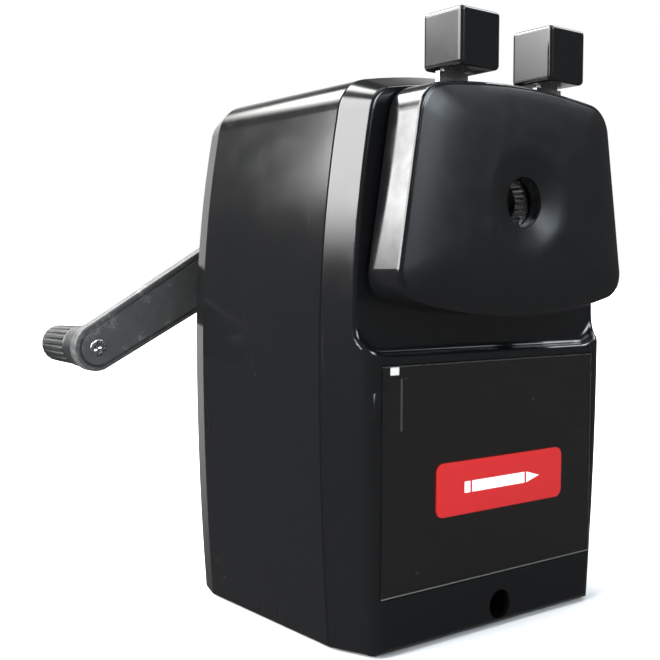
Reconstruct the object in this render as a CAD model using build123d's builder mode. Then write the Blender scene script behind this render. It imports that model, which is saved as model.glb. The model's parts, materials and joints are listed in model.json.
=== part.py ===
from build123d import *
import os
from math import cos, pi, radians, sin, sqrt, tan

# Desk pencil sharpener, turned by a crank at the back. A sprung holder at the front grips the
# pencil between two jaws and feeds it into a helical cutter that circles inside a ring gear.
# The shavings fall into a clear smoked drawer.
#
# Frame: X across, -Y the front where the pencil goes in, +Z up, in millimetres. The origin is
# under the middle of the base, on the surface that the sharpener stands on.

os.makedirs("parts", exist_ok=True)

# ---------------------------------------------------------------- driving dimensions

# Body
body_width = 66.0          # at its widest, just above the ledge
body_depth = 52.4          # front of the lower block to the rear wall
body_height = 99.2         # base to crown
wall = 2.2                 # housing walls
base_tuck = 2.2            # how much narrower each side is at the base
shoulder_tuck = 4.65       # how much narrower each side is at the shoulder
crown_rise = 3.2           # bow of the top
shoulder_radius = 7.0
bezel_depth = 9.0          # front moulding, from the lower block's face to the parting line
bezel_slope = 3.2          # how far its sides draw in over that depth
setback = 3.0              # upper front wall behind the lower block's face
recess_corner = 6.5        # rounded lower corners of the set-back wall
recess_fillet = 1.7
ledge_edge_radius = 0.9
block_edge_radius = 3.0
rear_bevel_depth = 5.6
rear_bevel_in = 1.85
parting_bevel = 0.45       # bevels that make the fine groove round the parting line
axis_below_crown = 22.8    # pencil and crank axis
ledge_below_axis = 26.0
boss_radius = 2.8          # screw bosses
toe_bevel = 0.8

# Base
pad_stand = 0.6            # rubber pad proud of the base
pad_recess = 0.4
pad_width = 41.0
pad_margin = 1.2           # pad's edge to the parting line
base_thickness = 2.0
clamp_bore_radius = 2.7    # takes the rod of a desk clamp
clamp_bore_depth = 26.0
clamp_bore_x = 1.8
clamp_bore_height = 3.5    # above the base

# Drawer
drawer_side = 6.0          # drawer edge to the body's widest point
drawer_sill = 9.5          # base to the underside of the drawer
drawer_lip = 1.9           # top of the drawer to the ledge
drawer_depth = 44.0
drawer_wall = 1.6
drawer_front_wall = 2.2
drawer_drop = 3.0          # tray sides below the top of the front panel
drawer_gap = 0.2
label_width = 32.8
label_height = 9.5
label_thickness = 0.25
label_x = 1.7
label_above_drawer = 16.8  # drawer underside to the label's middle

# Pencil holder
face_low_tuck = 4.0        # lower corner of the face plate to the body's widest point
face_high_tuck = 9.6       # upper corner likewise
face_above_axis = 20.1     # crown of the face plate
face_below_axis = 20.0     # lowest point of the face plate
face_top_bow = 1.9
face_bottom_bow = 4.2
face_top_radius = 6.0
face_bottom_radius = 4.5
face_gap = 0.9             # face plate to the upper front wall
rim_depth = 7.6
face_wall = 1.8
dome_rise = 2.3
rim_round = 0.6            # softened edge of the face plate's rim
dish_radius = 12.5
dish_depth = 2.0
dish_edge_radius = 8.0
pencil_hole_radius = 4.4
holder_travel = 26.0
back_thickness = 1.6
rod_radius = 2.0
rod_x = 18.0
rod_below_axis = 13.4
rod_length = 48.4
pivot_x = 12.2
pivot_above_axis = 11.5
pivot_radius = 1.5
lever_thickness = 1.0
lever_boss_radius = 3.6
stem_width = 6.7
squeeze_angle = 10.5
grip_width = 9.4
grip_depth = 9.3
grip_height = 9.75
grip_inner_x = 6.4
grip_above_axis = 21.85    # underside of the grips
grip_edge_radius = 0.8
grip_forward = 1.15        # middle of the grips to the middle of the lever plates
tongue_width = 4.7         # the lever's end inside its grip
tongue_height = 6.0
jaw_thickness = 2.4
jaw_notch_radius = 4.2
jaw_notch_shift = 0.8      # notch centre beyond the pencil axis
jaw_tooth = 0.5

# Cutter head
gear_module = 0.8
ring_teeth = 32
pinion_teeth = 10
addendum = 0.62
dedendum = 0.95
backlash = 0.32
ring_outer_radius = 17.0
pinion_behind_wall = 2.4   # chassis wall to the middle of the pinion
cutter_tilt = 11.0         # half the point's angle
cutter_radius = 4.0
cutter_length = 18.9
cutter_flutes = 12
cutter_twist = 50.0
flute_depth = 0.7
carrier_radius = 15.0
carrier_rear_radius = 13.4
carrier_disc = 2.5
pinion_width = 2.0
guide_bore_radius = 4.3

# Crank
shaft_radius = 3.0
shaft_flat = 0.8
bush_radius = 5.0
crank_radius = 56.0
crank_angle = 209.15       # at rest, from +X towards +Z, seen from the front
arm_gap = 7.6              # rear wall to the arm's front face
arm_thickness = 3.0
arm_hub_radius = 6.4
arm_tip_radius = 4.7
arm_border = 1.35
arm_groove = 0.55
arm_step = 0.35
knob_length = 16.6
knob_collar_length = 4.7
knob_collar_radius = 4.2
knob_radius = 4.0
knob_flutes = 20
knob_pin_radius = 1.7

# Clearances
running_gap = 0.06         # radial, moving fits
seat_gap = 0.02            # radial, fixed pieces in their seats
free_gap = 0.3             # parts that pass each other
screw_radius = 1.1
screw_head_radius = 2.2
screw_head_height = 1.5

# ---------------------------------------------------------------- derived places

base_z = pad_stand
crown_z = base_z + body_height
axis_z = crown_z - axis_below_crown
ledge_z = axis_z - ledge_below_axis
widest_z = ledge_z + 1.0
shoulder_z = crown_z - crown_rise
half_width = body_width / 2
front_y = -body_depth / 2
rear_y = body_depth / 2
upper_y = front_y + setback
parting_y = front_y + bezel_depth
bevel_y = rear_y - rear_bevel_depth
inner_rear_y = rear_y - wall
plate_top_z = base_z + base_thickness
pad_depth = 2 * (-parting_y - pad_margin)

drawer_half = half_width - drawer_side
drawer_low_z = base_z + drawer_sill
drawer_top_z = ledge_z - drawer_lip
drawer_back_y = front_y + drawer_depth

chassis_thickness = 2.5
chassis_y = parting_y + 0.8
chassis_rear_y = chassis_y + chassis_thickness
shelf_z = ledge_z - 0.6
shelf_thickness = 2.0

face_rear_y = upper_y - face_gap
face_front_y = face_rear_y - rim_depth
face_inner_y = face_front_y + face_wall
face_top_z = axis_z + face_above_axis
face_low_z = axis_z - face_below_axis
back_rear_y = face_rear_y - 0.2
back_front_y = back_rear_y - back_thickness
lever_y = back_front_y - 0.2
lever_front_y = lever_y - lever_thickness
jaw_front_y = lever_front_y - jaw_thickness
pivot_z = axis_z + pivot_above_axis
rod_z = axis_z - rod_below_axis
rod_front_y = back_front_y - 1.2
rod_rear_y = rod_front_y + rod_length

ring_radius = gear_module * ring_teeth / 2
pinion_radius = gear_module * pinion_teeth / 2
pinion_offset = ring_radius - pinion_radius
pinion_y = chassis_rear_y + pinion_behind_wall
ring_front_y = chassis_rear_y
seat_y = pinion_y + 2.1
disc_front_y = seat_y + 0.1
disc_rear_y = disc_front_y + carrier_disc
ring_rear_y = disc_rear_y + 0.1
cutter_front = disc_rear_y + 0.9 - pinion_y
rear_disc_y = pinion_y + (cutter_front + cutter_length * cos(radians(cutter_tilt))) + 1.0
rear_disc_end_y = rear_disc_y + 2.8
bush_front_y = inner_rear_y - 4.0
boss_rear_y = rear_y + 1.5
bush_rear_y = boss_rear_y + 1.0
arm_front_y = rear_y + arm_gap
arm_rear_y = arm_front_y + arm_thickness
tip_x = crank_radius * cos(radians(crank_angle))
tip_z = axis_z + crank_radius * sin(radians(crank_angle))
knob_front_y = arm_rear_y + 0.4
knob_rear_y = knob_front_y + knob_length

chassis_screws_at = ((half_width - 10.0, axis_z + 9.5), (half_width - 7.0, ledge_z + 5.0))
cover_screw_x = half_width - 11.0
cover_screw_z = ledge_z + 6.0
base_screw_x = half_width - 8.7
base_screws_y = (parting_y + 3.7, inner_rear_y - 4.7)
holder_screws_at = ((half_width - 14.0, axis_z + 12.7), (half_width - 9.0, axis_z - 13.0))


# ---------------------------------------------------------------- helpers

def front_plane(y):
    """A sketch plane across the body at y: local x is X, local y is Z, and it faces the front."""
    return Plane.XZ.offset(-y)


def rear_plane(y):
    """The same plane, facing the rear."""
    return Plane((0, y, 0), x_dir=(-1, 0, 0), z_dir=(0, 1, 0))


def both_sides(points):
    """Each (x, z) point and its mirror image."""
    return [(side * x, z) for side in (-1, 1) for x, z in points]


def bars(radius, y_from, y_to, places, mode=Mode.ADD):
    """Round bars or holes along Y in the open part, one at each (x, z) place."""
    with BuildSketch(front_plane(y_to)) as ends:
        with Locations(*places):
            Circle(radius)
    extrude(ends.sketch, amount=y_to - y_from, mode=mode)


def uprights(radius, z_from, z_to, places, mode=Mode.ADD):
    """Round bars or holes along Z in the open part, one at each (x, y) place."""
    with BuildSketch(Plane.XY.offset(z_from)) as ends:
        with Locations(*places):
            Circle(radius)
    extrude(ends.sketch, amount=z_to - z_from, mode=mode)


def block(x_from, x_to, y_from, y_to, z_from, z_to, mode=Mode.ADD):
    """A rectangular block between two corners, in the open part."""
    with BuildSketch(Plane.XY.offset(z_from)) as foot:
        with Locations(((x_from + x_to) / 2, (y_from + y_to) / 2)):
            Rectangle(x_to - x_from, y_to - y_from)
    extrude(foot.sketch, amount=z_to - z_from, mode=mode)


def body_section(plane, inset=0.0):
    """The body's front view, drawn in by inset, carried on below the base to be trimmed there."""
    base_half = half_width - base_tuck - inset
    shoulder = (half_width - shoulder_tuck - inset, shoulder_z - inset)
    widest = (half_width - inset, widest_z)
    below_z = base_z - 3 * bezel_slope
    with BuildSketch(plane) as section:
        with BuildLine():
            Polyline((0, below_z), (base_half, below_z), (base_half, base_z))
            TangentArc(widest, (base_half, base_z), tangent=(0, -1))
            TangentArc(widest, shoulder, tangent=(0, 1))
            TangentArc((0, crown_z - inset), shoulder, tangent=(1, 0))
            mirror(about=Plane.YZ)
        make_face()
        corners = section.vertices().filter_by(lambda v: abs(v.Y - shoulder[1]) < 0.01)
        fillet(corners, radius=shoulder_radius - inset)
    return section.sketch


def drafted_body(y_from, y_to, draw_in, inset=0.0):
    """A solid with the body's outline at y_from, drawn in by draw_in on every side at y_to."""
    forward = y_to < y_from
    margin = 1.0
    length = abs(y_to - y_from)
    plane = front_plane(y_from + margin) if forward else rear_plane(y_from - margin)
    with BuildPart() as solid:
        extrude(body_section(plane, inset), amount=length + margin)
        end_face = solid.faces().sort_by(Axis.Y)[0 if forward else -1]
        chamfer(end_face.edges(), length=draw_in, length2=length, reference=end_face)
        split(bisect_by=front_plane(y_from), keep=Keep.TOP if forward else Keep.BOTTOM)
    return solid.part


def face_section(plane, inset=0.0):
    """The face plate's outline, drawn in by inset."""
    low_corner = (half_width - face_low_tuck - inset, face_low_z + face_bottom_bow + inset)
    high_corner = (half_width - face_high_tuck - inset, face_top_z - face_top_bow - inset)
    with BuildSketch(plane) as section:
        with BuildLine():
            TangentArc((0, face_low_z + inset), low_corner, tangent=(1, 0))
            Line(low_corner, high_corner)
            TangentArc((0, face_top_z - inset), high_corner, tangent=(1, 0))
            mirror(about=Plane.YZ)
        make_face()
        low = section.vertices().filter_by(lambda v: abs(v.Y - low_corner[1]) < 0.01)
        fillet(low, radius=face_bottom_radius - inset)
        high = section.vertices().filter_by(lambda v: abs(v.Y - high_corner[1]) < 0.01)
        fillet(high, radius=face_top_radius - inset)
    return section.sketch


def dome_section(share, rise):
    """The face plate's outline shrunk to share about its middle, rise forward of the rim."""
    middle_z = (face_low_z + face_top_z) / 2
    outline = face_section(front_plane(0), rim_round).scale(share)
    return Location((0, face_front_y - rise, (1 - share) * middle_z)) * outline


def on_dish_rim(edge):
    """Whether an edge of the domed face lies on the dish's rim along its whole length."""
    radii = [sqrt((edge @ share).X ** 2 + ((edge @ share).Z - axis_z) ** 2) for share in (0, 0.5, 1)]
    return edge.center().Y < face_front_y and min(radii) > 4.5 and max(radii) < dish_radius


def tooth(at_radius, towards):
    """One gear tooth in the open sketch, across the pitch line, pointing out (1) or in (-1)."""
    flank = tan(radians(20))
    half_pitch = (gear_module * pi / 2 - backlash) / 2
    half_tip = half_pitch - addendum * flank
    half_root = half_pitch + dedendum * flank
    tip = at_radius + towards * addendum
    root = at_radius - towards * (dedendum + 0.1)
    corners = ((-half_root, root), (half_root, root), (half_tip, tip), (-half_tip, tip))
    Polygon(*corners, align=None)


def screw(head_radius, shank_radius, head_height, length):
    """A screw pointing up: the head's underside is at z = 0, with a cross in its lower face."""
    with BuildPart() as piece:
        with BuildSketch(Plane.XY.offset(-head_height)):
            Circle(head_radius)
        extrude(amount=head_height)
        with BuildSketch(Plane.XY):
            Circle(shank_radius)
        extrude(amount=length)
        with BuildSketch(Plane.XY.offset(-head_height)):
            Rectangle(head_radius * 1.2, head_radius * 0.3)
            Rectangle(head_radius * 0.3, head_radius * 1.2)
        extrude(amount=head_height * 0.5, mode=Mode.SUBTRACT)
        chamfer(piece.faces().sort_by(Axis.Z)[-1].edges(), length=shank_radius * 0.3)
    return piece.part


def write(piece, label):
    """Label a finished piece and write its STEP file."""
    piece.part.label = label
    export_step(piece.part, f"parts/{label}.step")


# ---------------------------------------------------------------- housing

# Hollow behind the bezel's upper wall, above the sill
with BuildPart() as bezel_hollow:
    hollow_y = upper_y + wall
    hollow_draw = bezel_slope * (parting_y - hollow_y) / bezel_depth
    add(drafted_body(parting_y, hollow_y, hollow_draw, wall))
    split(bisect_by=Plane.XY.offset(drawer_low_z - drawer_gap), keep=Keep.TOP)

# What sets the upper wall back, with rounded lower corners and a hollow fillet round its floor
with BuildPart() as recess:
    recess_half = half_width - 1.8
    recess_top = crown_z + 5
    with BuildSketch(front_plane(upper_y)):
        with BuildLine():
            FilletPolyline(
                (-recess_half, recess_top),
                (-recess_half, ledge_z),
                (recess_half, ledge_z),
                (recess_half, recess_top),
                radius=recess_corner,
            )
            Line((recess_half, recess_top), (-recess_half, recess_top))
        make_face()
    extrude(amount=setback + 1)
    floor_edges = recess.faces().sort_by(Axis.Y)[-1].edges().sort_by(Axis.Z)[:-1]
    fillet(floor_edges, radius=recess_fillet)

with BuildPart() as front_bezel:
    add(drafted_body(parting_y, front_y, bezel_slope))
    split(bisect_by=Plane.XY.offset(base_z), keep=Keep.TOP)
    block_face = front_bezel.faces().sort_by(Axis.Y)[0]
    fillet(block_face.edges().filter_by(lambda e: e.center().Z > base_z + 1), radius=block_edge_radius)
    # A small bevel along the toe
    toe = Plane(origin=(0, front_y, base_z + toe_bevel), z_dir=(0, -1, -1))
    split(bisect_by=toe, keep=Keep.BOTTOM)
    add(recess.part, mode=Mode.SUBTRACT)
    # The ledge's edge runs on tangent round the corners and up round the set-back wall
    ledge_edge = front_bezel.edges().filter_by(Axis.X).filter_by(
        lambda e: abs(e.center().Y - front_y) < 0.01 and abs(e.center().Z - ledge_z) < 0.01
    )
    fillet(ledge_edge, radius=ledge_edge_radius)
    add(bezel_hollow.part, mode=Mode.SUBTRACT)
    block(
        -drawer_half - drawer_gap,
        drawer_half + drawer_gap,
        front_y - 1,
        parting_y + 1,
        drawer_low_z - drawer_gap,
        drawer_top_z + drawer_gap,
        mode=Mode.SUBTRACT,
    )
    # Bosses for the chassis, and lugs for the base plate
    bars(boss_radius, upper_y + 1, chassis_y, both_sides(chassis_screws_at))
    bars(screw_radius, upper_y + wall + 1, chassis_y + 1, both_sides(chassis_screws_at), mode=Mode.SUBTRACT)
    for side in (-1, 1):
        lug = sorted((side * (base_screw_x - boss_radius), side * (base_screw_x + boss_radius)))
        block(*lug, parting_y - 1, base_screws_y[0] + boss_radius, plate_top_z + 0.1, drawer_low_z - 2)
    lugs_at = [(side * base_screw_x, base_screws_y[0]) for side in (-1, 1)]
    uprights(screw_radius, base_z, drawer_low_z - 3, lugs_at, mode=Mode.SUBTRACT)
    # Holes for the pencil guide, the guide rods and the clamp rod
    bars(7.6, upper_y - 1, parting_y, [(0, axis_z)], mode=Mode.SUBTRACT)
    bars(rod_radius + 0.7, upper_y - 1, parting_y, both_sides([(rod_x, rod_z)]), mode=Mode.SUBTRACT)
    clamp_at = [(clamp_bore_x, base_z + clamp_bore_height)]
    bars(clamp_bore_radius, front_y - 1, parting_y + 1, clamp_at, mode=Mode.SUBTRACT)

write(front_bezel, "front_bezel")

with BuildPart() as rear_shell:
    extrude(body_section(rear_plane(parting_y)), amount=bevel_y - parting_y)
    add(drafted_body(bevel_y, rear_y, rear_bevel_in))
    split(bisect_by=Plane.XY.offset(base_z), keep=Keep.TOP)
    inside = body_section(rear_plane(parting_y - 1), wall)
    extrude(inside, amount=inner_rear_y - parting_y + 1, mode=Mode.SUBTRACT)
    # Boss for the crank bush, and its seat
    bars(bush_radius + 3.0, bush_front_y, rear_y, [(0, axis_z)])
    bars(bush_radius + 4.5, rear_y - 1, boss_rear_y, [(0, axis_z)])
    bars(bush_radius + seat_gap, bush_front_y - 1, boss_rear_y + 1, [(0, axis_z)], mode=Mode.SUBTRACT)
    # Rails that carry the drawer
    for side in (-1, 1):
        rail = sorted((side * (drawer_half - 2.0), side * (half_width - wall - 0.8)))
        block(*rail, parting_y + 0.5, inner_rear_y + 0.5, drawer_low_z - 1.8, drawer_low_z - 0.1)
        lug = sorted((side * (base_screw_x - boss_radius), side * (base_screw_x + boss_radius)))
        block(*lug, base_screws_y[1] - boss_radius, inner_rear_y + 0.5, plate_top_z + 0.1, drawer_low_z - 2)
    lugs_at = [(side * base_screw_x, base_screws_y[1]) for side in (-1, 1)]
    uprights(screw_radius, base_z, drawer_low_z - 3, lugs_at, mode=Mode.SUBTRACT)
    cover_at = both_sides([(cover_screw_x, cover_screw_z)])
    bars(screw_radius + 0.3, inner_rear_y - 1, rear_y + 1, cover_at, mode=Mode.SUBTRACT)
    bars(screw_head_radius + 0.3, rear_y - 1.2, rear_y + 1, cover_at, mode=Mode.SUBTRACT)
    front_rim = rear_shell.faces().sort_by(Axis.Y)[0].outer_wire().edges()
    chamfer(front_rim.filter_by(lambda e: e.center().Z > base_z + 1), length=parting_bevel)

write(rear_shell, "rear_shell")

with BuildPart() as base_plate:
    plate_half = half_width - base_tuck - wall - 0.3
    block(-plate_half, plate_half, parting_y + 0.1, inner_rear_y - 0.2, base_z, plate_top_z)
    socket_end_y = front_y + clamp_bore_depth
    block(
        clamp_bore_x - clamp_bore_radius - 2,
        clamp_bore_x + clamp_bore_radius + 2,
        parting_y + 0.1,
        socket_end_y + 2,
        base_z,
        base_z + clamp_bore_height + clamp_bore_radius + 1.6,
    )
    bars(clamp_bore_radius, parting_y, socket_end_y, clamp_at, mode=Mode.SUBTRACT)
    with BuildSketch(Plane.XY.offset(base_z)):
        RectangleRounded(pad_width + 0.3, pad_depth + 0.3, 3.15)
    extrude(amount=pad_recess, mode=Mode.SUBTRACT)
    base_holes = [(side * base_screw_x, y) for side in (-1, 1) for y in base_screws_y]
    uprights(screw_radius + 0.2, base_z - 1, plate_top_z + 1, base_holes, mode=Mode.SUBTRACT)
    uprights(screw_head_radius + 0.2, base_z - 1, base_z + 1.1, base_holes, mode=Mode.SUBTRACT)

write(base_plate, "base_plate")

with BuildPart() as base_pad:
    with BuildSketch(Plane.XY):
        RectangleRounded(pad_width, pad_depth, 3)
    extrude(amount=pad_stand + pad_recess)
    chamfer(base_pad.faces().sort_by(Axis.Z)[0].edges(), length=0.25)

write(base_pad, "base_pad")

with BuildPart() as base_screws:
    base_screw = screw(screw_head_radius, screw_radius - seat_gap, 0.9, drawer_sill - 4.5)
    for x, y in base_holes:
        add(base_screw.moved(Location((x, y, base_z + 1.1))))

write(base_screws, "base_screws")

# ---------------------------------------------------------------- chassis and its fixed pieces

with BuildPart() as chassis:
    extrude(body_section(front_plane(chassis_rear_y), wall + free_gap), amount=chassis_thickness)
    split(bisect_by=Plane.XY.offset(shelf_z), keep=Keep.TOP)
    shelf_half = half_width - wall - 0.5
    shelf_top_z = shelf_z + shelf_thickness
    block(-shelf_half, shelf_half, chassis_y, inner_rear_y - 3.0, shelf_z, shelf_top_z)
    block(-ring_outer_radius, ring_outer_radius, chassis_rear_y + 1.5, inner_rear_y - 7.0, shelf_z - 1,
          shelf_top_z + 1, mode=Mode.SUBTRACT)
    # Posts that the rear shell is screwed to
    for side in (-1, 1):
        post = sorted((side * (cover_screw_x - 3.2), side * (cover_screw_x + 3.2)))
        block(*post, inner_rear_y - 12.0, inner_rear_y - 0.1, shelf_top_z - 0.5, cover_screw_z + 2.4)
    bars(screw_radius, inner_rear_y - 9, inner_rear_y + 1, cover_at, mode=Mode.SUBTRACT)
    # Ribs between the wall and the shelf
    for side in (-1, 1):
        with BuildSketch(Plane.YZ.offset(side * (shelf_half - 7.8))):
            with BuildLine():
                Polyline(
                    (chassis_rear_y - 0.2, shelf_top_z - 0.2),
                    (chassis_rear_y + 14.0, shelf_top_z - 0.2),
                    (chassis_rear_y - 0.2, shelf_top_z + 20.0),
                    close=True,
                )
            make_face()
        extrude(amount=0.9, both=True)
    bars(6.0 + seat_gap, chassis_y - 1, chassis_rear_y + 1, [(0, axis_z)], mode=Mode.SUBTRACT)
    rods_at = both_sides([(rod_x, rod_z)])
    bars(3.2 + seat_gap, chassis_y - 1, chassis_rear_y + 1, rods_at, mode=Mode.SUBTRACT)
    wall_screws = both_sides(chassis_screws_at)
    bars(screw_radius + 0.2, chassis_y - 1, chassis_rear_y + 1, wall_screws, mode=Mode.SUBTRACT)

write(chassis, "chassis")

with BuildPart() as pencil_guide:
    bars(6.0, chassis_y - 6.0, chassis_rear_y + 0.3, [(0, axis_z)])
    bars(7.4, chassis_y - 1.2, chassis_y, [(0, axis_z)])
    bars(guide_bore_radius, chassis_y - 7, chassis_rear_y + 1, [(0, axis_z)], mode=Mode.SUBTRACT)
    mouth = pencil_guide.faces().sort_by(Axis.Y)[0].edges().sort_by(SortBy.RADIUS)[0]
    chamfer(mouth, length=1.1)

write(pencil_guide, "pencil_guide")

with BuildPart() as ring_gear:
    bars(ring_outer_radius, ring_front_y, ring_rear_y, [(0, axis_z)])
    bars(carrier_radius + running_gap, seat_y, ring_rear_y + 1, [(0, axis_z)], mode=Mode.SUBTRACT)
    bars(ring_radius + dedendum, ring_front_y - 1, seat_y + 1, [(0, axis_z)], mode=Mode.SUBTRACT)
    with BuildSketch(front_plane(seat_y)):
        with Locations((0, axis_z)):
            with PolarLocations(0, ring_teeth, start_angle=180 / ring_teeth):
                tooth(ring_radius, -1)
    extrude(amount=seat_y - ring_front_y)

write(ring_gear, "ring_gear")

with BuildPart() as rear_bush:
    bars(bush_radius, bush_front_y, boss_rear_y + 0.5, [(0, axis_z)])
    bars(bush_radius + 2.0, boss_rear_y, bush_rear_y, [(0, axis_z)])
    bars(shaft_radius + running_gap, bush_front_y - 1, bush_rear_y + 1, [(0, axis_z)], mode=Mode.SUBTRACT)

write(rear_bush, "rear_bush")

with BuildPart() as guide_bushes:
    bars(3.2, chassis_y - 0.5, chassis_rear_y + 1.5, rods_at)
    bars(4.2, chassis_y - 1.2, chassis_y, rods_at)
    bars(rod_radius + running_gap, chassis_y - 2, chassis_rear_y + 2, rods_at, mode=Mode.SUBTRACT)

write(guide_bushes, "guide_bushes")

with BuildPart() as chassis_screws:
    wall_screw = screw(screw_head_radius, screw_radius - seat_gap, screw_head_height, 5.5)
    for x, z in wall_screws:
        add(wall_screw.moved(Location((x, chassis_rear_y, z), (90, 0, 0))))

write(chassis_screws, "chassis_screws")

with BuildPart() as cover_screws:
    cover_screw = screw(screw_head_radius, screw_radius - seat_gap, 1.1, 8.0)
    for x, z in cover_at:
        add(cover_screw.moved(Location((x, rear_y - 1.2, z), (90, 0, 0))))

write(cover_screws, "cover_screws")

# ---------------------------------------------------------------- drawer

with BuildPart() as drawer_tray:
    tray_top_z = drawer_top_z - drawer_drop
    tray_half = drawer_half - 0.3
    block(-drawer_half, drawer_half, front_y, front_y + drawer_front_wall, drawer_low_z, drawer_top_z)
    block(-tray_half, tray_half, front_y + 1, drawer_back_y, drawer_low_z, tray_top_z)
    block(
        -tray_half + drawer_wall,
        tray_half - drawer_wall,
        front_y + drawer_front_wall,
        drawer_back_y - drawer_wall,
        drawer_low_z + drawer_wall,
        drawer_top_z + 1,
        mode=Mode.SUBTRACT,
    )
    panel_edges = drawer_tray.faces().sort_by(Axis.Y)[0].edges()
    fillet(panel_edges, radius=0.35)
    tray_corners = drawer_tray.edges().filter_by(Axis.Z).group_by(Axis.Y)[-1]
    fillet(tray_corners, radius=1.2)

write(drawer_tray, "drawer_tray")

with BuildPart() as drawer_label:
    with BuildSketch(front_plane(front_y)):
        with Locations((label_x, drawer_low_z + label_above_drawer)):
            RectangleRounded(label_width, label_height, 1.6)
    extrude(amount=label_thickness)

write(drawer_label, "drawer_label")

with BuildPart() as drawer_catch:
    catch_x = -drawer_half + 2.7
    catch_y = front_y + drawer_front_wall
    block(catch_x - 0.95, catch_x + 0.95, catch_y, catch_y + 1.2, drawer_top_z - 1.5, drawer_top_z - 0.2)

write(drawer_catch, "drawer_catch")

# ---------------------------------------------------------------- pencil holder

pivots_at = both_sides([(pivot_x, pivot_z)])
pencil_at = [(0, axis_z)]
holder_screws = both_sides(holder_screws_at)

# What the dish takes out of the domed face: a shallow bowl that runs out level with the dome
with BuildPart() as dish:
    dome_y = face_front_y - dome_rise
    with BuildSketch(Plane((0, 0, axis_z), x_dir=(1, 0, 0), z_dir=(0, 0, 1))):
        with BuildLine():
            bowl_y = dome_y + dish_depth
            edge_y = dome_y - 0.3
            Line((0, dome_y - 3), (0, bowl_y))
            Line((0, bowl_y), (3.0, bowl_y))
            Spline((3.0, bowl_y), (dish_radius, edge_y), tangents=((1, -0.25), (1, -0.05)))
            Line((dish_radius, edge_y), (dish_radius, dome_y - 3))
            Line((dish_radius, dome_y - 3), (0, dome_y - 3))
        make_face()
    revolve(axis=Axis((0, 0, axis_z), (0, 1, 0)))

with BuildPart() as face_plate:
    extrude(face_section(front_plane(face_rear_y)), amount=rim_depth - rim_round)
    rim_steps = ((0.0, 0.0), (0.7, 0.3), (1.0, 1.0))
    loft(
        [
            face_section(front_plane(face_front_y + (1 - forward) * rim_round), inward * rim_round)
            for forward, inward in rim_steps
        ]
    )
    dome_steps = ((1.0, 0.0), (0.86, 0.48), (0.6, 0.82), (0.3, 1.0))
    loft([dome_section(share, rise * dome_rise) for share, rise in dome_steps])
    add(dish.part, mode=Mode.SUBTRACT)
    # The dish runs out softly into the dome all the way round
    dish_rim = face_plate.edges().filter_by(on_dish_rim)
    fillet(dish_rim, radius=dish_edge_radius)
    hollow = face_section(front_plane(face_rear_y), face_wall)
    extrude(hollow, amount=rim_depth - face_wall, mode=Mode.SUBTRACT)
    # Bosses inside for the screws and the lever pins
    bars(2.4, face_inner_y - 0.5, back_front_y, holder_screws)
    bars(screw_radius - 0.2, face_inner_y + 0.8, back_front_y + 1, holder_screws, mode=Mode.SUBTRACT)
    bars(pencil_hole_radius, face_front_y - 2 * dome_rise, face_rear_y + 1, pencil_at, mode=Mode.SUBTRACT)
    # Slots in the top for the lever stems, open at the rear
    for side in (-1, 1):
        slot = sorted((side * (pivot_x - 5.1), side * (pivot_x + stem_width / 2 + 0.45)))
        block(*slot, lever_front_y - 0.35, face_rear_y + 1, pivot_z + 2.0, face_top_z + 2, mode=Mode.SUBTRACT)

write(face_plate, "face_plate")

with BuildPart() as holder_back:
    extrude(face_section(front_plane(back_rear_y), face_wall + 0.15), amount=back_thickness)
    bars(pencil_hole_radius + 0.4, back_front_y - 1, back_rear_y + 1, pencil_at, mode=Mode.SUBTRACT)
    bars(rod_radius + seat_gap, back_front_y - 1, back_rear_y + 1, rods_at, mode=Mode.SUBTRACT)
    bars(pivot_radius + seat_gap, back_front_y - 1, back_rear_y + 1, pivots_at, mode=Mode.SUBTRACT)
    bars(screw_radius, back_front_y - 1, back_rear_y + 1, holder_screws, mode=Mode.SUBTRACT)
    bars(screw_head_radius, back_rear_y - 0.9, back_rear_y + 1, holder_screws, mode=Mode.SUBTRACT)

write(holder_back, "holder_back")

with BuildPart() as holder_screw_set:
    holder_screw = screw(screw_head_radius - 0.3, screw_radius - 0.2 - seat_gap, 0.8, 3.7)
    for x, z in holder_screws:
        add(holder_screw.moved(Location((x, back_rear_y - 0.9, z), (90, 0, 0))))

write(holder_screw_set, "holder_screws")

with BuildPart() as lever_pins:
    bars(pivot_radius, face_inner_y, back_rear_y, pivots_at)

write(lever_pins, "lever_pins")

for side, name in ((-1, "left"), (1, "right")):
    rod_at = [(side * rod_x, rod_z)]
    clip_y = rod_rear_y - 2.6
    with BuildPart() as guide_rod:
        bars(rod_radius, rod_front_y, rod_rear_y, rod_at)
        bars(2.7, rod_front_y, back_front_y, rod_at)
        bars(rod_radius + 1, clip_y, clip_y + 1.0, rod_at, mode=Mode.SUBTRACT)
        bars(rod_radius - 0.5, clip_y - 0.5, clip_y + 1.5, rod_at)
        rear_end = guide_rod.faces().sort_by(Axis.Y)[-1]
        chamfer(rear_end.edges(), length=0.5)

    write(guide_rod, f"{name}_guide_rod")

    with BuildPart() as return_spring:
        spring_front_y = chassis_rear_y + 1.6
        spring_rear_y = clip_y - 0.05
        bars(3.2, spring_front_y, spring_rear_y, rod_at)
        bars(2.5, spring_front_y - 1, spring_rear_y + 1, rod_at, mode=Mode.SUBTRACT)

    write(return_spring, f"{name}_return_spring")

with BuildPart() as rod_clips:
    bars(3.6, clip_y, clip_y + 1.0, rods_at)
    bars(rod_radius - 0.5 + seat_gap, clip_y - 1, clip_y + 2, rods_at, mode=Mode.SUBTRACT)
    for x, z in rods_at:
        block(x - 1.3, x + 1.3, clip_y - 1, clip_y + 2, z - 5, z, mode=Mode.SUBTRACT)

write(rod_clips, "rod_clips")

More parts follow.
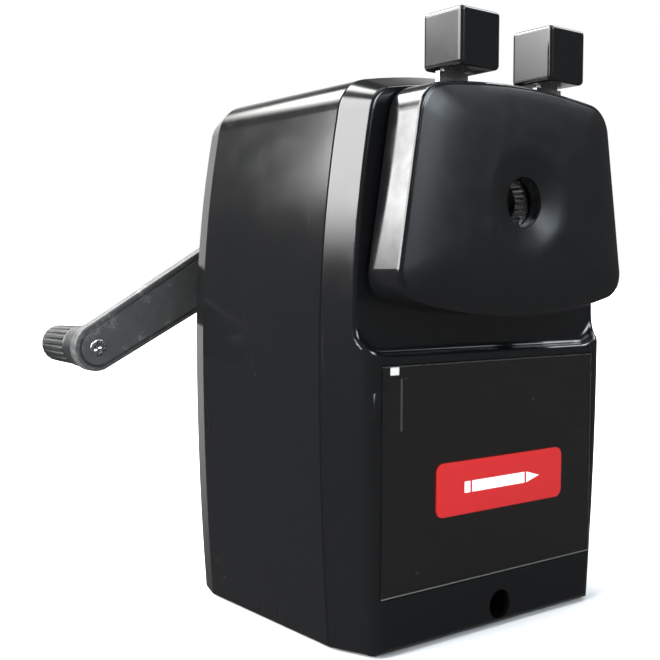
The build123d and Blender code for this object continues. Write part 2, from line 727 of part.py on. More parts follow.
with BuildPart() as lever_spring:
    spring_z = pivot_z + 4.4
    spring_y = back_front_y - 1.2 - free_gap
    spring_half = pivot_x - stem_width / 2 - 0.05
    with BuildSketch(Plane.YZ.offset(-spring_half)):
        with Locations((spring_y, spring_z)):
            Circle(1.2)
            Circle(0.8, mode=Mode.SUBTRACT)
    extrude(amount=2 * spring_half)

write(lever_spring, "lever_spring")

# Each lever is a steel plate: a tongue for the grip above, the pivot in the middle and the
# jaw's arm below. Drawn for the right side and mirrored for the left.
for side, name in ((-1, "left"), (1, "right")):
    grip_z = axis_z + grip_above_axis
    grip_mid_y = (lever_y + lever_front_y) / 2 - grip_forward
    tongue_top_z = grip_z + tongue_height
    jaw_x = jaw_notch_radius - jaw_notch_shift + 0.6
    with BuildPart() as lever:
        with BuildSketch(front_plane(lever_y)):
            with Locations((side * pivot_x, (pivot_z + grip_z - free_gap) / 2)):
                Rectangle(stem_width, grip_z - free_gap - pivot_z)
            with Locations((side * pivot_x, (pivot_z + tongue_top_z) / 2)):
                Rectangle(tongue_width, tongue_top_z - pivot_z)
            with Locations((side * pivot_x, pivot_z)):
                Circle(lever_boss_radius)
            with BuildLine():
                Polyline(
                    (side * (pivot_x - 1.0), pivot_z + 2.8),
                    (side * (pivot_x + 1.5), pivot_z - 3.0),
                    (side * (jaw_x + 4.2), axis_z + 2.5),
                    (side * (jaw_x + 3.6), axis_z - 5.5),
                    (side * (jaw_x + 1.0), axis_z - 5.5),
                    (side * (jaw_x + 1.0), axis_z + 5.5),
                    close=True,
                )
            make_face()
            with Locations((side * pivot_x, pivot_z)):
                Circle(pivot_radius + running_gap, mode=Mode.SUBTRACT)
        extrude(amount=lever_thickness)

    write(lever, f"{name}_lever")

    with BuildPart() as grip:
        grip_from = sorted((side * grip_inner_x, side * (grip_inner_x + grip_width)))
        grip_y = (grip_mid_y - grip_depth / 2, grip_mid_y + grip_depth / 2)
        block(*grip_from, *grip_y, grip_z, grip_z + grip_height)
        fillet(grip.edges(), radius=grip_edge_radius)
        # The socket that the lever's tongue is pressed into
        socket_half = tongue_width / 2 + seat_gap
        block(
            side * pivot_x - socket_half,
            side * pivot_x + socket_half,
            lever_front_y - seat_gap,
            lever_y + seat_gap,
            grip_z - 1,
            tongue_top_z + seat_gap,
            mode=Mode.SUBTRACT,
        )

    write(grip, f"{name}_grip")

    with BuildPart() as jaw:
        with BuildSketch(front_plane(lever_front_y)):
            with Locations((side * (jaw_x + 0.8), axis_z)):
                Rectangle(5.6, 10.6)
            with Locations((-side * jaw_notch_shift, axis_z)):
                Circle(jaw_notch_radius, mode=Mode.SUBTRACT)
            # Teeth round the notch
            for step in range(-3, 4):
                angle = radians(step * 13.0)
                with BuildLine():
                    rim = jaw_notch_radius + 0.3
                    tip = jaw_notch_radius - jaw_tooth
                    spread = radians(5.5)
                    corners = [(rim, angle - spread), (tip, angle), (rim, angle + spread)]
                    Polyline(
                        *[
                            (side * (r * cos(a) - jaw_notch_shift), axis_z + r * sin(a))
                            for r, a in corners
                        ],
                        close=True,
                    )
                make_face()
        extrude(amount=jaw_thickness)

    write(jaw, f"{name}_jaw")

# ---------------------------------------------------------------- cutter head

tilt = radians(cutter_tilt)
cutter_plane = Plane(
    (0, pinion_y, axis_z + pinion_offset), x_dir=(1, 0, 0), z_dir=(0, cos(tilt), -sin(tilt))
)
journal_radius = 2.0
rear_journal_radius = 1.3
cutter_end = cutter_front / cos(tilt) + cutter_length
rear_journal_end = (rear_disc_end_y - 0.3 - pinion_y) / cos(tilt)

with BuildPart() as cutter_carrier:
    bars(carrier_radius, disc_front_y, disc_rear_y, pencil_at)
    bars(pencil_hole_radius, disc_front_y - 1, disc_rear_y + 1, pencil_at, mode=Mode.SUBTRACT)
    bars(carrier_rear_radius, rear_disc_y, rear_disc_end_y, pencil_at)
    bars(shaft_radius + 2.5, rear_disc_end_y - 0.5, bush_front_y - free_gap, pencil_at)
    # Two bridges between the discs, below the pencil
    with BuildSketch(rear_plane(disc_rear_y - 0.2)):
        with Locations((0, axis_z)):
            Circle(carrier_rear_radius)
            Circle(carrier_rear_radius - 3.0, mode=Mode.SUBTRACT)
        with Locations(*both_sides([(10.5, axis_z - 5.5)])):
            Rectangle(8, 9, mode=Mode.INTERSECT)
    extrude(amount=rear_disc_y - disc_rear_y + 0.4)
    # Bearings for the cutter
    with BuildSketch(cutter_plane.offset(-4)):
        Circle(journal_radius + running_gap)
    extrude(amount=cutter_front / cos(tilt) + 4, mode=Mode.SUBTRACT)
    with BuildSketch(cutter_plane.offset(cutter_end)):
        Circle(rear_journal_radius + running_gap)
    extrude(amount=rear_journal_end - cutter_end + 0.1, mode=Mode.SUBTRACT)
    bars(shaft_radius + seat_gap, rear_disc_end_y + 0.3, bush_front_y, pencil_at, mode=Mode.SUBTRACT)

write(cutter_carrier, "cutter_carrier")

with BuildPart() as helical_cutter:
    sections = 5
    for step in range(sections):
        share = step / (sections - 1)
        with BuildSketch(cutter_plane.offset(cutter_front / cos(tilt) + share * cutter_length)):
            with BuildLine():
                star = []
                for flute in range(cutter_flutes):
                    turn = radians(360 * flute / cutter_flutes + cutter_twist * share)
                    heel = turn + radians(360 / cutter_flutes * 0.7)
                    root = cutter_radius - flute_depth
                    star.append((cutter_radius * cos(turn), cutter_radius * sin(turn)))
                    star.append((root * cos(heel), root * sin(heel)))
                Polyline(*star, close=True)
            make_face()
    loft()
    with BuildSketch(cutter_plane.offset(-pinion_width / 2 - 0.4)):
        Circle(journal_radius)
    extrude(amount=cutter_front / cos(tilt) + pinion_width / 2 + 0.5)
    with BuildSketch(cutter_plane.offset(cutter_end - 0.1)):
        Circle(rear_journal_radius)
    extrude(amount=rear_journal_end - cutter_end)

write(helical_cutter, "helical_cutter")

with BuildPart() as cutter_pinion:
    with BuildSketch(cutter_plane.offset(-pinion_width / 2)):
        Circle(pinion_radius - dedendum)
        with PolarLocations(0, pinion_teeth):
            tooth(pinion_radius, 1)
        Circle(journal_radius + seat_gap, mode=Mode.SUBTRACT)
    extrude(amount=pinion_width)

write(cutter_pinion, "cutter_pinion")

# ---------------------------------------------------------------- crank

with BuildPart() as crank_shaft:
    shaft_end_y = arm_rear_y - 0.1
    bars(shaft_radius, rear_disc_end_y + 0.4, shaft_end_y, pencil_at)
    block(
        -shaft_radius, shaft_radius, bush_rear_y + 0.1, shaft_end_y + 1,
        axis_z + shaft_radius - shaft_flat, axis_z + shaft_radius + 1, mode=Mode.SUBTRACT,
    )
    bars(1.25, shaft_end_y - 8, shaft_end_y + 1, pencil_at, mode=Mode.SUBTRACT)

write(crank_shaft, "crank_shaft")

tip_at = [(tip_x, tip_z)]


def arm_section(plane, inset=0.0):
    """The crank arm's outline, drawn in by inset: the hub's circle, the tip's, and the tangents."""
    with BuildSketch(plane) as section:
        with Locations((0, axis_z)):
            Circle(arm_hub_radius - inset)
        with Locations((tip_x, tip_z)):
            Circle(arm_tip_radius - inset)
        make_hull()
    return section.sketch


with BuildPart() as crank_arm:
    rim_y = arm_front_y + arm_step
    extrude(arm_section(front_plane(arm_rear_y)), amount=arm_rear_y - rim_y)
    rim_edges = crank_arm.faces().sort_by(Axis.Y)[0].edges()
    back_edges = crank_arm.faces().sort_by(Axis.Y)[-1].edges()
    fillet(rim_edges + back_edges, radius=0.35)
    # A groove runs round inside the border, and the face inside it stands a step higher
    with BuildSketch(front_plane(rim_y + 0.4)) as groove:
        add(arm_section(Plane.XY, arm_border - arm_groove))
        add(arm_section(Plane.XY, arm_border), mode=Mode.SUBTRACT)
    extrude(groove.sketch, amount=1, mode=Mode.SUBTRACT)
    extrude(arm_section(front_plane(rim_y + 0.1), arm_border), amount=arm_step + 0.1)
    # Hub that carries the arm clear of the housing, and its bore with a flat
    bars(arm_hub_radius, bush_rear_y + free_gap, rim_y + 1, pencil_at)
    with BuildSketch(front_plane(arm_rear_y + 1)) as bore:
        with Locations((0, axis_z)):
            Circle(shaft_radius + seat_gap)
        flat_z = axis_z + shaft_radius - shaft_flat + seat_gap
        with Locations((0, flat_z + shaft_radius)):
            Rectangle(4 * shaft_radius, 2 * shaft_radius, mode=Mode.SUBTRACT)
    extrude(bore.sketch, amount=arm_rear_y - bush_rear_y + 1, mode=Mode.SUBTRACT)
    bars(knob_pin_radius + seat_gap, arm_front_y - 1, arm_rear_y + 1, tip_at, mode=Mode.SUBTRACT)

write(crank_arm, "crank_arm")

with BuildPart() as hub_screw:
    add(screw(3.6, 1.25 - seat_gap, 1.8, 7.0).moved(Location((0, arm_rear_y, axis_z), (90, 0, 0))))

write(hub_screw, "hub_screw")

pin_head_y = knob_rear_y - 3.2

with BuildPart() as knob_pin:
    bars(knob_pin_radius, arm_front_y - 0.3, pin_head_y + 0.1, tip_at)
    bars(2.8, pin_head_y + 0.1, pin_head_y + 1.5, tip_at)
    pin_end = knob_pin.faces().sort_by(Axis.Y)[0].edges()
    fillet(pin_end, radius=0.3)
    with BuildSketch(front_plane(arm_front_y + 0.4)):
        with Locations(tip_at[0]):
            Rectangle(2.2, 0.55, rotation=20)
            Rectangle(0.55, 2.2, rotation=20)
    extrude(amount=1, mode=Mode.SUBTRACT)

write(knob_pin, "knob_pin")

with BuildPart() as knob:
    ribs_y = knob_front_y + knob_collar_length
    with BuildSketch(Plane((tip_x, 0, tip_z), x_dir=(1, 0, 0), z_dir=(0, 0, 1))):
        with BuildLine():
            collar_end = (knob_collar_radius - 0.35, ribs_y - 0.5)
            Polyline(
                (0, knob_front_y),
                (knob_collar_radius - 0.5, knob_front_y),
                (knob_collar_radius, knob_front_y + 0.6),
                (knob_collar_radius, ribs_y - 1.0),
                collar_end,
                (knob_radius, ribs_y),
                (knob_radius - 0.25, knob_rear_y - 1.2),
            )
            RadiusArc((knob_radius - 0.25, knob_rear_y - 1.2), (knob_radius - 1.45, knob_rear_y), 1.3)
            Polyline((knob_radius - 1.45, knob_rear_y), (0, knob_rear_y), (0, knob_front_y))
        make_face()
    revolve(axis=Axis((tip_x, 0, tip_z), (0, 1, 0)))
    # Flutes along the grip
    with BuildSketch(front_plane(knob_rear_y + 1)) as flutes:
        with Locations((tip_x, tip_z)):
            with PolarLocations(knob_radius + 0.1, knob_flutes):
                Circle(0.42)
    extrude(flutes.sketch, amount=knob_rear_y + 1 - ribs_y, mode=Mode.SUBTRACT)
    bars(knob_pin_radius + running_gap, knob_front_y - 1, knob_rear_y + 1, tip_at, mode=Mode.SUBTRACT)
    bars(3.0, pin_head_y, knob_rear_y + 1, tip_at, mode=Mode.SUBTRACT)

write(knob, "knob")
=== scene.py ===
import json
from math import cos, pi, radians, sin, tau

import bmesh
import bpy
from mathutils import Matrix, Vector


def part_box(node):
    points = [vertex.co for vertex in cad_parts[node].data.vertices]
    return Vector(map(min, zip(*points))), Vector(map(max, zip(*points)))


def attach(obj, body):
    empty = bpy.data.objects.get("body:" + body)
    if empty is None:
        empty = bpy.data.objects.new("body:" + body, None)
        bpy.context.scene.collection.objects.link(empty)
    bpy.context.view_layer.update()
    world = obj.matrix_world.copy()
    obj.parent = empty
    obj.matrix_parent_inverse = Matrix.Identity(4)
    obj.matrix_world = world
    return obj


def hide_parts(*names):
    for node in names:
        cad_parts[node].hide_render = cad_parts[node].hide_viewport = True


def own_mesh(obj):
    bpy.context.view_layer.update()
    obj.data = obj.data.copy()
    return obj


# Looks for the desk pencil sharpener. Everything is in metres, in the CAD frame: X across, -Y the
# front where the pencil goes in, +Z up, the origin under the middle of the base.

MM = 0.001
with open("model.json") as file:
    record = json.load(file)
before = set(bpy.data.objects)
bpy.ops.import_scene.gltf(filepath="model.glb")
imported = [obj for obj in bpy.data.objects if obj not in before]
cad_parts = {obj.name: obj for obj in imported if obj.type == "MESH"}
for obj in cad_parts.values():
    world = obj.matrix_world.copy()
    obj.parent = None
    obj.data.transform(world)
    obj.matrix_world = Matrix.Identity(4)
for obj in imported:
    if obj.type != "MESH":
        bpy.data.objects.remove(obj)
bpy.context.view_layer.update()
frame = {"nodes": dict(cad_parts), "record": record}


# ---------------------------------------------------------------- shader helpers

class Shader:
    """A procedural material with one Principled shader, and short ways to add nodes to it."""

    def __init__(self, name):
        self.material = bpy.data.materials.new(name)
        self.material.use_nodes = True
        self.tree = self.material.node_tree
        self.main = self.tree.nodes["Principled BSDF"]
        self.place = self.tree.nodes.new("ShaderNodeTexCoord").outputs["Object"]

    def set(self, **values):
        """Constants on the shader's own sockets; underscores in a name stand for spaces."""
        for name, value in values.items():
            self.main.inputs[name.replace("_", " ")].default_value = value
        return self

    def drive(self, socket, source):
        self.tree.links.new(source, self.main.inputs[socket])
        return self

    def node(self, kind, inputs=None, **settings):
        made = self.tree.nodes.new("ShaderNode" + kind)
        for name, value in settings.items():
            setattr(made, name, value)
        for name, value in (inputs or {}).items():
            if isinstance(value, bpy.types.NodeSocket):
                self.tree.links.new(value, made.inputs[name])
            else:
                made.inputs[name].default_value = value
        return made

    def math(self, operation, a, b=0.0, c=0.0):
        return self.node("Math", {0: a, 1: b, 2: c}, operation=operation).outputs[0]

    def remap(self, source, low, high, to_low=0.0, to_high=1.0):
        """source between low and high, smoothed onto to_low to to_high."""
        made = self.node(
            "MapRange",
            {"Value": source, "From Min": low, "From Max": high, "To Min": to_low, "To Max": to_high},
            interpolation_type="SMOOTHSTEP",
        )
        return made.outputs["Result"]

    def stretched(self, scale):
        """The surface position, scaled differently along each axis."""
        return self.node("Mapping", {"Vector": self.place, "Scale": scale}).outputs["Vector"]

    def noise(self, size, detail=2.0, rough=0.5, distortion=0.0, place=None):
        """Noise whose features are about size metres across."""
        inputs = {
            "Vector": place or self.place,
            "Scale": 1 / size,
            "Detail": detail,
            "Roughness": rough,
            "Distortion": distortion,
        }
        return self.node("TexNoise", inputs).outputs["Fac"]

    def specks(self, size, radius, share):
        """Round specks: 1 on a speck. One cell in 1/share of the cells, each size across, has one."""
        cells = self.node("TexVoronoi", {"Vector": self.place, "Scale": 1 / size})
        spot = self.remap(cells.outputs["Distance"], radius / size, 0.6 * radius / size)
        chosen = self.node("SeparateColor", {"Color": cells.outputs["Color"]}).outputs[0]
        return self.math("MULTIPLY", spot, self.math("LESS_THAN", chosen, share))

    def scratches(self, size, width, place):
        """Fine curved lines along the zero crossings of a stretched noise, broken up by another."""
        line = self.math("ABSOLUTE", self.math("SUBTRACT", self.noise(size, 0.0, place=place), 0.5))
        thin = self.remap(line, width, 0.0)
        return self.math("MULTIPLY", thin, self.remap(self.noise(0.012, 3.0), 0.52, 0.62))

    def mix(self, share, a, b):
        """Colour a turning to colour b as share goes from 0 to 1."""
        made = self.node("Mix", data_type="RGBA")
        for socket, value in ((made.inputs[0], share), (made.inputs[6], a), (made.inputs[7], b)):
            if isinstance(value, bpy.types.NodeSocket):
                self.tree.links.new(value, socket)
            else:
                socket.default_value = value
        return made.outputs[2]

    def bump(self, *layers):
        """Bump from (height, depth in metres) layers, each carried on by the next."""
        normal = None
        for height, depth in layers:
            inputs = {"Height": height, "Distance": depth, "Strength": 1.0}
            if normal:
                inputs["Normal"] = normal
            normal = self.node("Bump", inputs).outputs["Normal"]
        return self.drive("Normal", normal)


def grey(level, alpha=1.0):
    return (level, level, level, alpha)


# ---------------------------------------------------------------- materials

def gloss_black():
    """Polished black moulding: faint orange peel, soft haze, hairline marks and a little dust."""
    s = Shader("polished black plastic")
    dust = s.specks(4.5 * MM, 0.16 * MM, 0.22)
    hairline = s.scratches(7 * MM, 0.004, s.stretched((1.0, 1.0, 0.35)))
    haze = s.remap(s.noise(9 * MM, 5.0, 0.62), 0.35, 0.7, 0.13, 0.165)
    marks = s.math("ADD", haze, s.math("MULTIPLY", hairline, 0.18))
    s.drive("Roughness", s.math("ADD", marks, s.math("MULTIPLY", dust, 0.4)))
    s.drive("Base Color", s.mix(dust, (0.0040, 0.0042, 0.0045, 1), (0.12, 0.12, 0.115, 1)))
    s.bump((s.noise(1.6 * MM, 1.0), 1.5e-6), (s.noise(0.25 * MM, 2.0), 0.3e-6), (hairline, -1.0e-6))
    return s.set(IOR=1.5).material


def face_black(rim_y):
    """The holder's face: polished rim, and a fine matte grain on the front."""
    s = Shader("grained black plastic")
    along = s.node("SeparateXYZ", {"Vector": s.place}).outputs["Y"]
    front = s.remap(along, rim_y + 0.05 * MM, rim_y - 0.15 * MM)
    grain = s.noise(0.28 * MM, 3.0, 0.6)
    dust = s.specks(4.0 * MM, 0.14 * MM, 0.25)
    polished = s.remap(s.noise(9 * MM, 5.0, 0.62), 0.35, 0.7, 0.12, 0.2)
    matte = s.remap(s.noise(3 * MM, 4.0), 0.3, 0.7, 0.33, 0.39)
    rough = s.node("Mix", {0: front, 2: polished, 3: matte}, data_type="FLOAT").outputs[0]
    s.drive("Roughness", rough)
    s.drive("Base Color", s.mix(dust, (0.0038, 0.0040, 0.0044, 1), (0.10, 0.10, 0.10, 1)))
    s.bump((s.noise(1.8 * MM, 1.0), 1.2e-6), (s.math("MULTIPLY", grain, front), 14e-6))
    return s.set(IOR=1.5).material


def smoked_clear():
    """Clear smoked styrene, with faint flow lines, finger haze and dust."""
    s = Shader("smoked clear plastic")
    dust = s.specks(3.2 * MM, 0.12 * MM, 0.3)
    haze = s.remap(s.noise(7 * MM, 5.0, 0.6), 0.4, 0.75, 0.03, 0.11)
    s.drive("Roughness", s.math("ADD", haze, s.math("MULTIPLY", dust, 0.4)))
    s.drive("Base Color", s.mix(dust, (0.048, 0.044, 0.041, 1), (0.2, 0.2, 0.19, 1)))
    s.bump((s.noise(6 * MM, 1.0), 3e-6), (s.noise(0.5 * MM, 2.0), 0.25e-6))
    return s.set(IOR=1.5, Transmission_Weight=0.86).material


def label_red():
    """Satin red film with a fine print grain."""
    s = Shader("red film")
    blotch = s.noise(2.5 * MM, 4.0, 0.6)
    s.drive("Base Color", s.mix(blotch, (0.38, 0.003, 0.004, 1), (0.43, 0.006, 0.008, 1)))
    s.drive("Roughness", s.remap(s.noise(0.8 * MM, 3.0), 0.3, 0.7, 0.28, 0.4))
    s.bump((s.noise(0.12 * MM, 2.0), 1.0e-6))
    return s.set(IOR=1.45).material


def label_ink():
    """Slightly uneven white print."""
    s = Shader("white print")
    s.drive("Base Color", s.mix(s.noise(0.6 * MM, 4.0), (0.78, 0.77, 0.75, 1), (0.88, 0.87, 0.86, 1)))
    s.drive("Roughness", s.remap(s.noise(0.3 * MM, 2.0), 0.3, 0.7, 0.35, 0.5))
    s.bump((s.noise(0.1 * MM, 2.0), 1.5e-6))
    return s.material


def moulded(name, colour, rough, grain_depth):
    """Plain moulded plastic with a fine grain and soft colour variation."""
    s = Shader(name)
    shade = s.noise(5 * MM, 4.0, 0.6)
    darker = tuple(c * 0.82 for c in colour) + (1,)
    s.drive("Base Color", s.mix(shade, darker, colour + (1,)))
    s.drive("Roughness", s.remap(s.noise(2 * MM, 4.0), 0.3, 0.7, rough - 0.06, rough + 0.08))
    s.bump((s.noise(0.35 * MM, 3.0), grain_depth), (s.noise(3 * MM, 1.0), 3e-6))
    return s.set(IOR=1.48).material


def pad_rubber():
    """Matte black rubber, dusty in its grain."""
    s = Shader("pad rubber")
    grain = s.noise(0.4 * MM, 4.0, 0.65)
    s.drive("Base Color", s.mix(grain, (0.010, 0.010, 0.010, 1), (0.035, 0.034, 0.033, 1)))
    s.drive("Roughness", s.remap(grain, 0.3, 0.7, 0.72, 0.9))
    s.bump((grain, 25e-6))
    return s.material


def metal(name, colour, rough, stretch, tarnish=0.75):
    """Turned or drawn steel: brushing along one direction, and a little tarnish."""
    s = Shader(name)
    brushed = s.noise(0.35 * MM, 4.0, 0.6, place=s.stretched(stretch))
    cloudy = s.remap(s.noise(4 * MM, 5.0, 0.6), 0.4, 0.75)
    dull = tuple(c * tarnish for c in colour) + (1,)
    s.drive("Base Color", s.mix(cloudy, colour + (1,), dull))
    s.drive("Roughness", s.remap(brushed, 0.3, 0.7, rough - 0.06, rough + 0.1))
    s.bump((brushed, 2.5e-6))
    return s.set(Metallic=1.0).material


def arm_enamel():
    """Satin dark enamel on the steel crank arm, rubbed and chipped so that grey metal shows."""
    s = Shader("worn dark enamel")
    patches = s.noise(5 * MM, 6.0, 0.68, 0.6)
    fine = s.noise(0.5 * MM, 5.0, 0.7)
    rubbed = s.remap(s.math("ADD", patches, s.math("MULTIPLY", fine, 0.35)), 0.72, 0.86)
    base = s.mix(s.noise(2 * MM, 4.0), (0.030, 0.031, 0.032, 1), (0.060, 0.061, 0.062, 1))
    s.drive("Base Color", s.mix(rubbed, base, (0.17, 0.17, 0.168, 1)))
    s.drive("Roughness", s.remap(fine, 0.3, 0.7, 0.3, 0.5))
    s.drive("Metallic", s.math("MULTIPLY", rubbed, 0.6))
    s.bump((fine, 10e-6), (patches, 16e-6))
    return s.set(IOR=1.5).material


def knob_plastic():
    """Charcoal knob, lighter where fingers have worn it."""
    s = Shader("charcoal knob plastic")
    worn = s.remap(s.noise(3 * MM, 5.0, 0.65), 0.45, 0.7)
    s.drive("Base Color", s.mix(worn, (0.008, 0.009, 0.0095, 1), (0.022, 0.023, 0.024, 1)))
    s.drive("Roughness", s.remap(s.noise(0.6 * MM, 4.0), 0.3, 0.7, 0.34, 0.52))
    s.bump((s.noise(0.2 * MM, 3.0), 6e-6))
    return s.set(IOR=1.5).material


dome_depth = 2.16 * MM      # the dome's crest to the front of the rim
rim_front_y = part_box("face_plate")[0].y + dome_depth
looks = {
    "gloss_black": gloss_black(),
    "face_black": face_black(rim_front_y),
    "smoked_clear": smoked_clear(),
    "label_red": label_red(),
    "inner_plastic": moulded("inner black plastic", (0.02, 0.02, 0.021), 0.5, 9e-6),
    "nylon": moulded("natural nylon", (0.62, 0.60, 0.54), 0.42, 5e-6),
    "pad_rubber": pad_rubber(),
    "arm_enamel": arm_enamel(),
    "bright_steel": metal("drawn steel", (0.60, 0.60, 0.61), 0.26, (1.0, 0.06, 1.0)),
    "screw_zinc": metal("bright zinc", (0.70, 0.71, 0.73), 0.24, (1.0, 1.0, 1.0)),
    "cutter_steel": metal("ground cutter steel", (0.46, 0.46, 0.48), 0.3, (1.0, 0.2, 1.0)),
    "knob_plastic": knob_plastic(),
}
slot_of = {part["node"]: part["material_slot"] for part in frame["record"]["subparts"]}
for name, node in frame["nodes"].items():
    node.data.materials.clear()
    node.data.materials.append(looks[slot_of[name]])


# ---------------------------------------------------------------- pieces

def piece(name, mesh, body, slot_name, look=None):
    """A mesh as a named object riding on a body, with its material."""
    made = bpy.data.objects.new(name, mesh)
    bpy.context.scene.collection.objects.link(made)
    mesh.materials.append(look or looks[slot_name])
    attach(made, body)
    return made


def coil(name, middle, axis, length, radius, wire, turns, ends=1.25):
    """Mesh of a compression spring round axis, with closed turns at both ends."""
    across = axis.orthogonal().normalized()
    up = axis.cross(across)
    sides, per_turn = 10, 28
    steps = int(per_turn * (turns + 2 * ends))
    mesh = bmesh.new()
    rings = []
    for step in range(steps + 1):
        turn = step / per_turn
        closed = wire * 1.05
        inner = length - wire - 2 * ends * closed
        if turn < ends:
            along = turn * closed
        elif turn > ends + turns:
            along = ends * closed + inner + (turn - ends - turns) * closed
        else:
            along = ends * closed + inner * (turn - ends) / turns
        out = across * cos(turn * tau) + up * sin(turn * tau)
        centre = middle + axis * (along + wire / 2 - length / 2) + out * radius
        rings.append(
            [
                mesh.verts.new(
                    centre + (out * cos(side * tau / sides) + axis * sin(side * tau / sides)) * wire / 2
                )
                for side in range(sides)
            ]
        )
    for one, two in zip(rings, rings[1:]):
        for side in range(sides):
            after = (side + 1) % sides
            mesh.faces.new((one[side], two[side], two[after], one[after]))
    mesh.faces.new(rings[0])
    mesh.faces.new(reversed(rings[-1]))
    bmesh.ops.recalc_face_normals(mesh, faces=mesh.faces)
    made = bpy.data.meshes.new(name)
    mesh.to_mesh(made)
    mesh.free()
    for face in made.polygons:
        face.use_smooth = True
    return made


for side in ("left", "right"):
    low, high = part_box(f"{side}_return_spring")
    length = high.y - low.y
    spring = piece(
        f"{side}_coil_spring",
        coil(f"{side}_coil_spring", (low + high) / 2, Vector((0, 1, 0)), length, 2.85 * MM, 0.6 * MM, 6),
        "housing",
        "bright_steel",
    )
    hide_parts(f"{side}_return_spring")
    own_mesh(spring)

low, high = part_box("lever_spring")
grip_spring = piece(
    "lever_coil_spring",
    coil("lever_coil_spring", (low + high) / 2, Vector((1, 0, 0)), high.x - low.x, 1.0 * MM, 0.35 * MM, 12),
    "holder",
    "bright_steel",
)
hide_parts("lever_spring")
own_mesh(grip_spring)


def bars(name, boxes, body, slot_name, look):
    """Thin bars, each from one corner to the other, as one piece."""
    mesh = bmesh.new()
    for low, high in boxes:
        made = bmesh.ops.create_cube(mesh, size=1.0)["verts"]
        size = Vector(high) - Vector(low)
        middle = (Vector(high) + Vector(low)) / 2
        for vert in made:
            vert.co = Vector(a * b for a, b in zip(vert.co, size)) + middle
    data = bpy.data.meshes.new(name)
    mesh.to_mesh(data)
    mesh.free()
    return piece(name, data, body, slot_name, look)


# Pale strips in the skin of the drawer's front, all painted light: painted highlights along its
# edges, an upright streak that is a painted reflection, and a painted highlight where the catch shows.
# None of these would show through plastic as dark as this; they are not parts of the object.
edge_look = moulded("light on clear edges", (0.12, 0.125, 0.125), 0.3, 2e-6)
faint_look = moulded("faint light on clear edges", (0.035, 0.036, 0.037), 0.3, 2e-6)
# Painted highlight: a pale colour that stands in for light caught on the catch behind the front
catch_highlight_look = moulded("painted catch highlight", (0.50, 0.50, 0.49), 0.35, 3e-6)
tray_low, tray_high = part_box("drawer_tray")
catch_low, catch_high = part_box("drawer_catch")
line = 0.16 * MM            # width of a light line
streak_length = 8.9 * MM
skin = (tray_low.y - 0.02 * MM, tray_low.y + 0.05 * MM)


def on_front(x0, x1, z0, z1):
    """A bar lying in the skin of the drawer's front."""
    return ((x0, skin[0], z0), (x1, skin[1], z1))


bars(
    "drawer_bottom_edge_light",
    [on_front(tray_low.x, tray_high.x, tray_low.z, tray_low.z + line)],
    "drawer",
    "smoked_clear",
    edge_look,
)
bars(
    "drawer_edge_lights",
    [
        on_front(tray_high.x - line, tray_high.x, tray_low.z + line, tray_high.z),
        on_front(tray_low.x, tray_high.x - line, tray_high.z - line, tray_high.z),
        # The upright streak: a painted reflection of the tray's inner side wall, not a real rib
        on_front(
            catch_high.x + 0.4 * MM,
            catch_high.x + 0.8 * MM,
            catch_low.z - 0.6 * MM - streak_length,
            catch_low.z - 0.6 * MM,
        ),
    ],
    "drawer",
    "smoked_clear",
    faint_look,
)
# The catch's painted highlight, a flat pale patch in the front's skin
bars(
    "drawer_catch_highlight",
    [on_front(catch_low.x, catch_high.x, catch_low.z, catch_high.z)],
    "drawer",
    "smoked_clear",
    catch_highlight_look,
)

# A plain white pencil printed on the label: rubber, shaft and point
label_low, label_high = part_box("drawer_label")
label_x = (label_low.x + label_high.x) / 2
label_z = (label_low.z + label_high.z) / 2
print_y = label_low.y - 0.02 * MM
print_depth = 0.03 * MM
mark = bmesh.new()
for outline in (
    ((-9.6, -1.0), (-8.2, -1.0), (-8.2, 1.0), (-9.6, 1.0)),
    ((-7.7, -1.0), (6.0, -1.0), (6.0, 1.0), (-7.7, 1.0)),
    ((6.5, -1.0), (10.0, 0.0), (6.5, 1.0)),
):
    corners = [(label_x + x * MM, print_y, label_z + z * MM) for x, z in outline]
    face = mark.faces.new([mark.verts.new(corner) for corner in corners])
    raised = bmesh.ops.extrude_face_region(mark, geom=[face])
    for part in raised["geom"]:
        if isinstance(part, bmesh.types.BMVert):
            part.co.y += print_depth
bmesh.ops.recalc_face_normals(mark, faces=mark.faces)
mark_mesh = bpy.data.meshes.new("label_pencil")
mark.to_mesh(mark_mesh)
mark.free()
piece("label_pencil", mark_mesh, "drawer", "label_red", label_ink())


# ---------------------------------------------------------------- floor, light and camera

def floor():
    """A plain pale disc that runs off to the backdrop."""
    mesh = bmesh.new()
    bmesh.ops.create_circle(mesh, cap_ends=True, segments=96, radius=6.0)
    made = bpy.data.meshes.new("floor")
    mesh.to_mesh(made)
    mesh.free()
    s = Shader("pale floor")
    s.drive("Base Color", s.mix(s.noise(0.2, 3.0), grey(0.86), grey(0.88)))
    made.materials.append(s.set(Roughness=0.9, Specular_IOR_Level=0.1).material)
    placed = bpy.data.objects.new("floor", made)
    placed.visible_glossy = False
    placed.visible_transmission = False
    bpy.context.scene.collection.objects.link(placed)


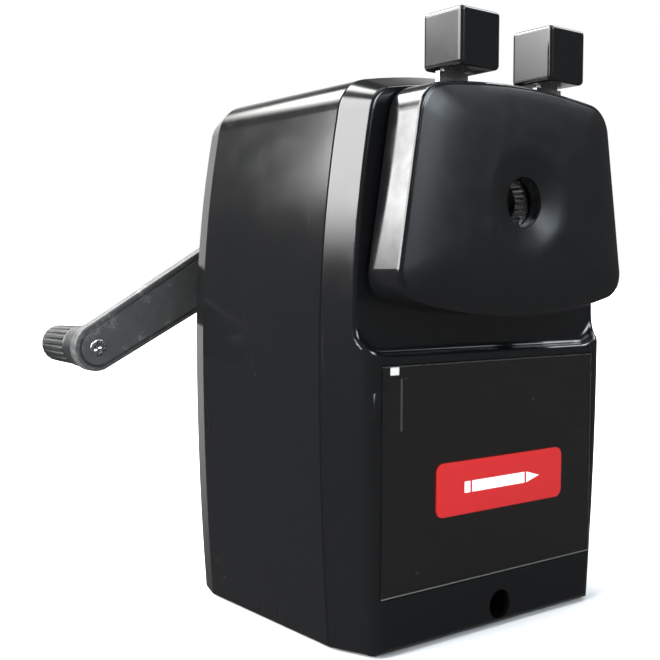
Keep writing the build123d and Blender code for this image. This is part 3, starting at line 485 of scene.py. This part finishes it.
def studio():
    """A soft studio, as softboxes round the object: the list below says where each one is."""
    world = bpy.data.worlds.new("studio")
    bpy.context.scene.world = world
    world.use_nodes = True
    tree = world.node_tree
    tree.nodes.clear()

    def node(kind, inputs, **settings):
        made = tree.nodes.new("ShaderNode" + kind)
        for name, value in settings.items():
            setattr(made, name, value)
        for name, value in inputs.items():
            if isinstance(value, bpy.types.NodeSocket):
                tree.links.new(value, made.inputs[name])
            else:
                made.inputs[name].default_value = value
        return made.outputs

    def math(operation, a, b=0.0, c=0.0):
        return node("Math", {0: a, 1: b, 2: c}, operation=operation)[0]

    def band(value, low, high, soft):
        """1 between low and high, smoothly 0 beyond, over soft either way."""
        edges = {"To Min": 0.0, "To Max": 1.0}
        smooth = {"interpolation_type": "SMOOTHSTEP"}
        at_low = {"Value": value, "From Min": low - soft, "From Max": low + soft, **edges}
        at_high = {"Value": value, "From Min": high + soft, "From Max": high - soft, **edges}
        rise = node("MapRange", at_low, **smooth)[0]
        fall = node("MapRange", at_high, **smooth)[0]
        return math("MULTIPLY", rise, fall)

    towards = tree.nodes.new("ShaderNodeTexCoord").outputs["Generated"]
    x, y, z = node("SeparateXYZ", {"Vector": towards})
    height = math("DEGREES", math("ARCSINE", z))
    # Degrees round from the rear (+Y), positive to the left (-X)
    round_left = math("DEGREES", math("ARCTAN2", math("MULTIPLY", x, -1.0), y))

    def softbox(around, half_span, low, high, soft_round, soft_up, strength, colour):
        off = math("WRAP", math("SUBTRACT", round_left, around), 180.0, -180.0)
        around_share = band(off, -half_span, half_span, soft_round)
        shape = math("MULTIPLY", around_share, band(height, low, high, soft_up))
        level = math("MULTIPLY", shape, strength)
        return node("VectorMath", {0: level, 1: colour}, operation="MULTIPLY")[0]

    lights = [
        softbox(76.5, 29.5, 11, 52, 4, 4, 15.0, (1.0, 1.0, 1.0)),        # key, at the left
        softbox(39.5, 3, 14, 40, 3, 4, 24.0, (1.0, 1.0, 1.0)),         # the key's near edge
        softbox(12, 18, 38, 66, 8, 8, 26.0, (1.0, 1.0, 0.97)),       # behind, from above
        softbox(-90, 16, 38, 58, 8, 6, 8.0, (0.90, 0.96, 1.0)),      # right, from above
        softbox(-168, 14, 19, 38, 8, 7, 15.0, (0.84, 0.93, 1.0)),    # cool light, front
        softbox(-35, 32, -12, 26, 8, 8, 0.9, (1.0, 1.0, 1.0)),       # the backdrop behind
        softbox(0, 180, 66, 100, 1, 10, 1.5, (0.88, 0.94, 1.0)),     # overhead
    ]
    total = node("VectorMath", {0: (0.11, 0.11, 0.112)}, operation="ADD")[0]
    for light in lights:
        total = node("VectorMath", {0: total, 1: light}, operation="ADD")[0]
    lit = node("Background", {"Color": total, "Strength": 1.0})[0]
    seen = node("Background", {"Color": grey(1.0), "Strength": 1.0})[0]
    camera_ray = tree.nodes.new("ShaderNodeLightPath").outputs["Is Camera Ray"]
    both = node("MixShader", {0: camera_ray, 1: lit, 2: seen})[0]
    out = tree.nodes.new("ShaderNodeOutputWorld")
    tree.links.new(both, out.inputs["Surface"])


def camera():
    """The camera at the photograph's viewing angle."""
    lens = bpy.data.cameras.new("camera")
    lens.lens = 57.09
    lens.sensor_width = 36.0
    lens.clip_start = 0.01
    made = bpy.data.objects.new("camera", lens)
    turn, tilt, roll = radians(37.95), radians(-2.95), radians(0.25)
    aimed = Matrix.Rotation(-turn, 4, "Z") @ Matrix.Rotation(pi / 2 + tilt, 4, "X")
    looking = aimed @ Matrix.Rotation(roll, 4, "Z")
    made.matrix_world = Matrix.Translation((-139.2 * MM, -156.0 * MM, 64.0 * MM)) @ looking
    bpy.context.scene.collection.objects.link(made)
    bpy.context.scene.camera = made


floor()
studio()
camera()
bpy.context.scene.view_settings.view_transform = "Standard"
